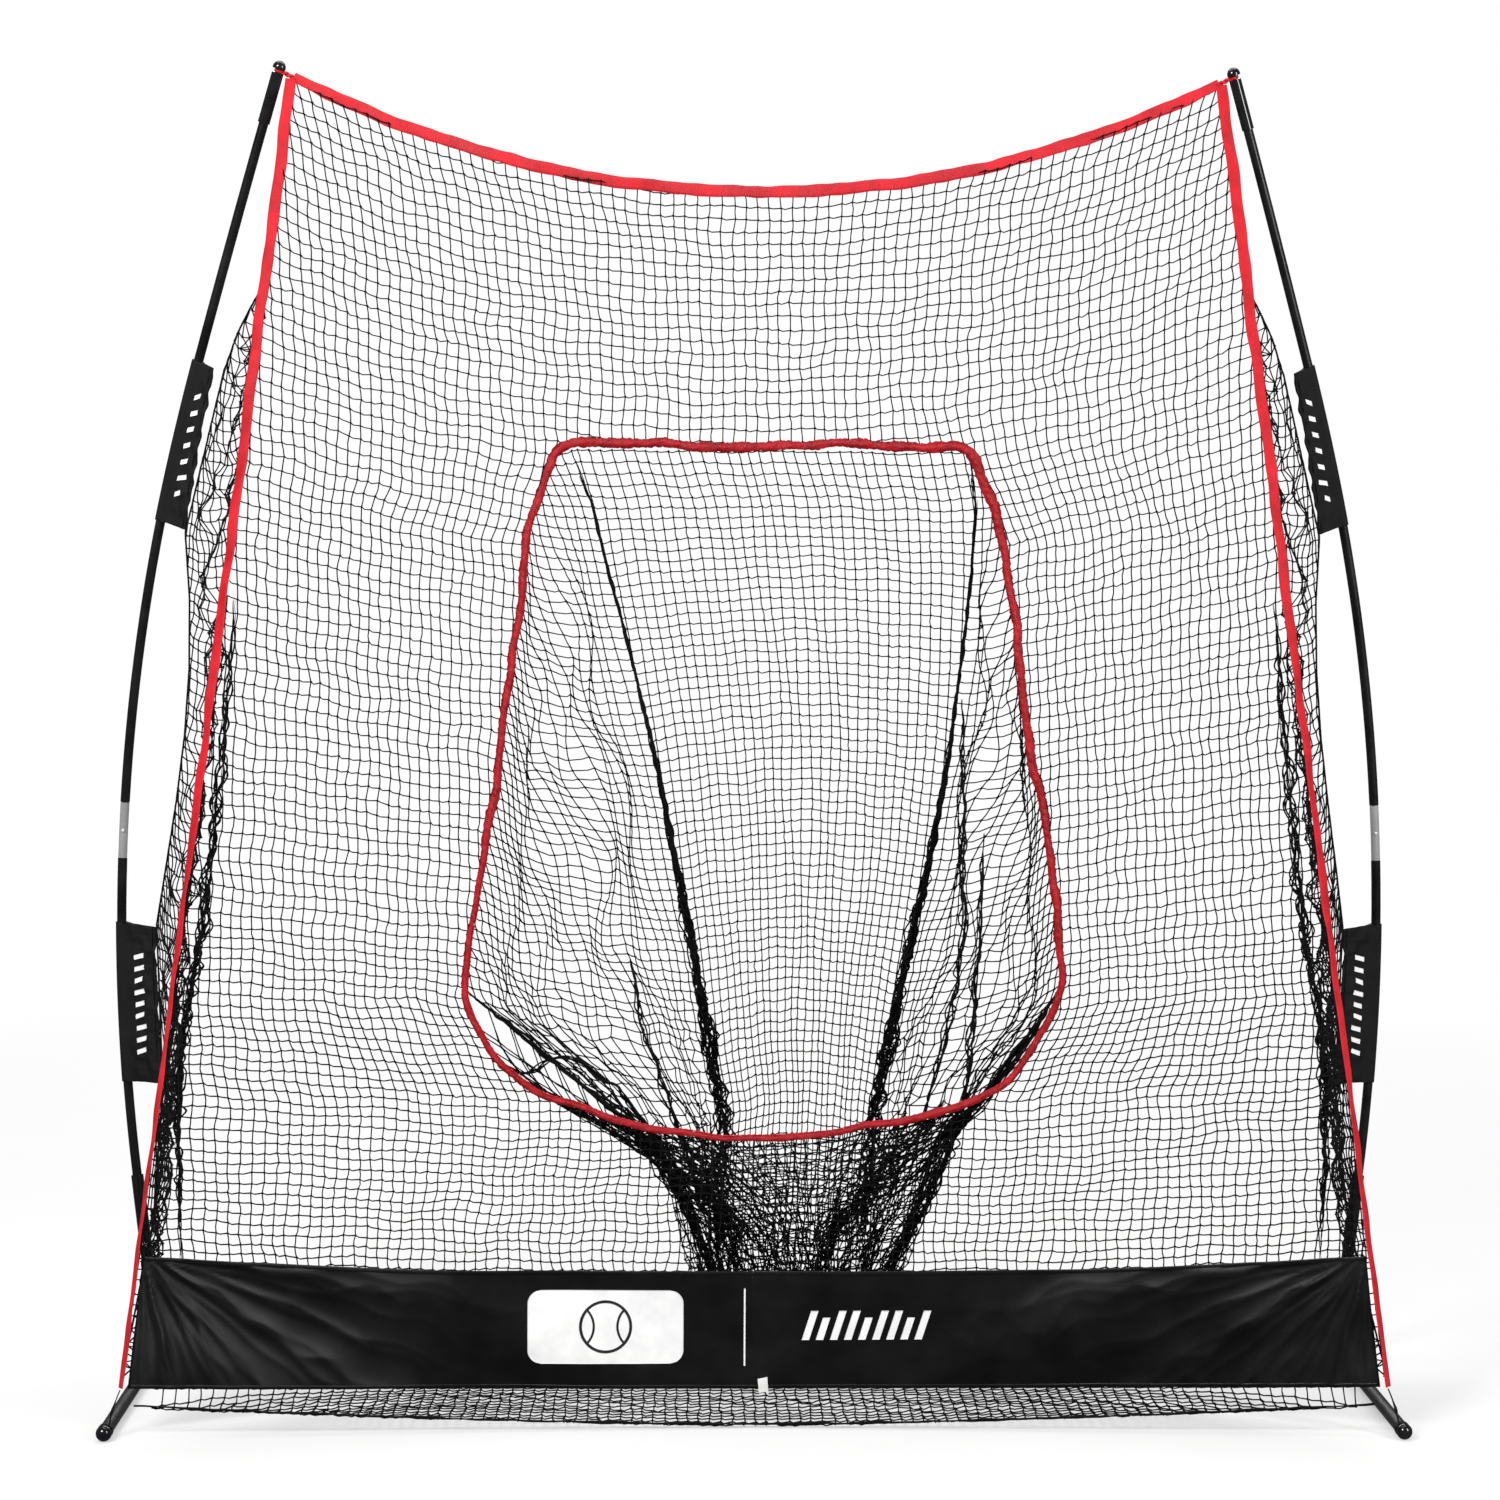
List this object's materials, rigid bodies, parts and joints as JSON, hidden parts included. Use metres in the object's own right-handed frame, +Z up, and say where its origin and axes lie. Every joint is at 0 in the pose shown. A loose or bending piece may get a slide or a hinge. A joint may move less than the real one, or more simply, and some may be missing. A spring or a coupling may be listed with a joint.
{
  "type": "pitching target net",
  "caption": "Free-standing practice net: bowed poles on a floor frame hold square-mesh netting with a strike-zone opening and a catching sack behind it.",
  "frame": {"origin": "on the floor under the middle of the rear crossbar, on the underside of its rubber pad", "axes": "+X to the pitcher's right, +Y away from the pitcher towards the sack, +Z up"},
  "size_m": [2.2726, 0.7328, 2.2819],
  "materials": {
    "painted_steel": "gloss black powder coat",
    "bare_steel": "bare drawn steel",
    "zinc_steel": "zinc plated",
    "pad_rubber": "matt moulded rubber",
    "gloss_cap": "moulded gloss black",
    "wrapped_pole": "black vinyl wrap over tube",
    "button_steel": "bright plated",
    "black_netting": "knotted polyethylene twine",
    "sack_netting": "knotted polyethylene twine, gathered",
    "red_webbing": "woven polyester tape",
    "red_rim": "crumpled satin tube",
    "banner_cloth": "black satin, creased",
    "sleeve_cloth": "matt black woven cloth",
    "black_webbing": "black woven tape",
    "label_cloth": "blank white label"
  },
  "bodies": {
    "frame": {"crossbar_left": "painted_steel", "crossbar_right": "painted_steel", "leg_left": "painted_steel", "leg_right": "painted_steel", "corner_bracket_left": "painted_steel", "corner_bracket_right": "painted_steel", "pole_socket_left": "painted_steel", "pole_socket_right": "painted_steel", "crossbar_coupler": "bare_steel", "ferrule_lower_left": "bare_steel", "ferrule_lower_right": "bare_steel", "ferrule_upper_left": "bare_steel", "ferrule_upper_right": "bare_steel", "bracket_bolts": "zinc_steel", "bracket_nuts": "zinc_steel", "pole_stops": "zinc_steel", "crossbar_pad": "pad_rubber", "foot_ball_left": "gloss_cap", "foot_ball_right": "gloss_cap", "tip_cap_left": "gloss_cap", "tip_cap_right": "gloss_cap", "pole_lower_left": "wrapped_pole", "pole_lower_right": "wrapped_pole", "pole_middle_left": "wrapped_pole", "pole_middle_right": "wrapped_pole", "pole_upper_left": "wrapped_pole", "pole_upper_right": "wrapped_pole", "net_top": "black_netting", "net_bottom": "black_netting", "net_left": "black_netting", "net_right": "black_netting", "wing_left": "black_netting", "wing_right": "black_netting", "floor_net": "black_netting", "sack_back": "sack_netting", "sack_left": "sack_netting", "sack_right": "sack_netting", "sack_front": "sack_netting", "sack_floor": "sack_netting", "top_binding": "red_webbing", "side_binding_left": "red_webbing", "side_binding_right": "red_webbing", "corner_loop_left": "red_webbing", "corner_loop_right": "red_webbing", "pocket_rim": "red_rim", "banner": "banner_cloth", "sleeve_upper_left": "sleeve_cloth", "sleeve_upper_right": "sleeve_cloth", "sleeve_lower_left": "sleeve_cloth", "sleeve_lower_right": "sleeve_cloth", "bottom_hem": "black_webbing", "foot_strap_left": "black_webbing", "foot_strap_right": "black_webbing", "care_label": "label_cloth"},
    "pole_button_left": {"pole_button_left": "button_steel"},
    "pole_button_right": {"pole_button_right": "button_steel"},
    "leg_button_left": {"leg_button_left": "button_steel"},
    "leg_button_right": {"leg_button_right": "button_steel"},
    "crossbar_button_left": {"crossbar_button_left": "button_steel"},
    "crossbar_button_right": {"crossbar_button_right": "button_steel"}
  },
  "joints": [
    {"name": "pole_button_left_press", "type": "slide", "parent": "frame", "child": "pole_button_left", "axis": [0.0055, 0.9963, 0.0862], "range_m": [0, 0.003], "stiffness_N_per_m": 600, "springref_m": -0.003},
    {"name": "pole_button_right_press", "type": "slide", "parent": "frame", "child": "pole_button_right", "axis": [-0.0055, 0.9963, 0.0862], "range_m": [0, 0.003], "stiffness_N_per_m": 600, "springref_m": -0.003},
    {"name": "leg_button_left_press", "type": "slide", "parent": "frame", "child": "leg_button_left", "axis": [0, 0, -1], "range_m": [0, 0.003], "stiffness_N_per_m": 600, "springref_m": -0.003},
    {"name": "leg_button_right_press", "type": "slide", "parent": "frame", "child": "leg_button_right", "axis": [0, 0, -1], "range_m": [0, 0.003], "stiffness_N_per_m": 600, "springref_m": -0.003},
    {"name": "crossbar_button_left_press", "type": "slide", "parent": "frame", "child": "crossbar_button_left", "axis": [0, 0, -1], "range_m": [0, 0.003], "stiffness_N_per_m": 600, "springref_m": -0.003},
    {"name": "crossbar_button_right_press", "type": "slide", "parent": "frame", "child": "crossbar_button_right", "axis": [0, 0, -1], "range_m": [0, 0.003], "stiffness_N_per_m": 600, "springref_m": -0.003}
  ]
}
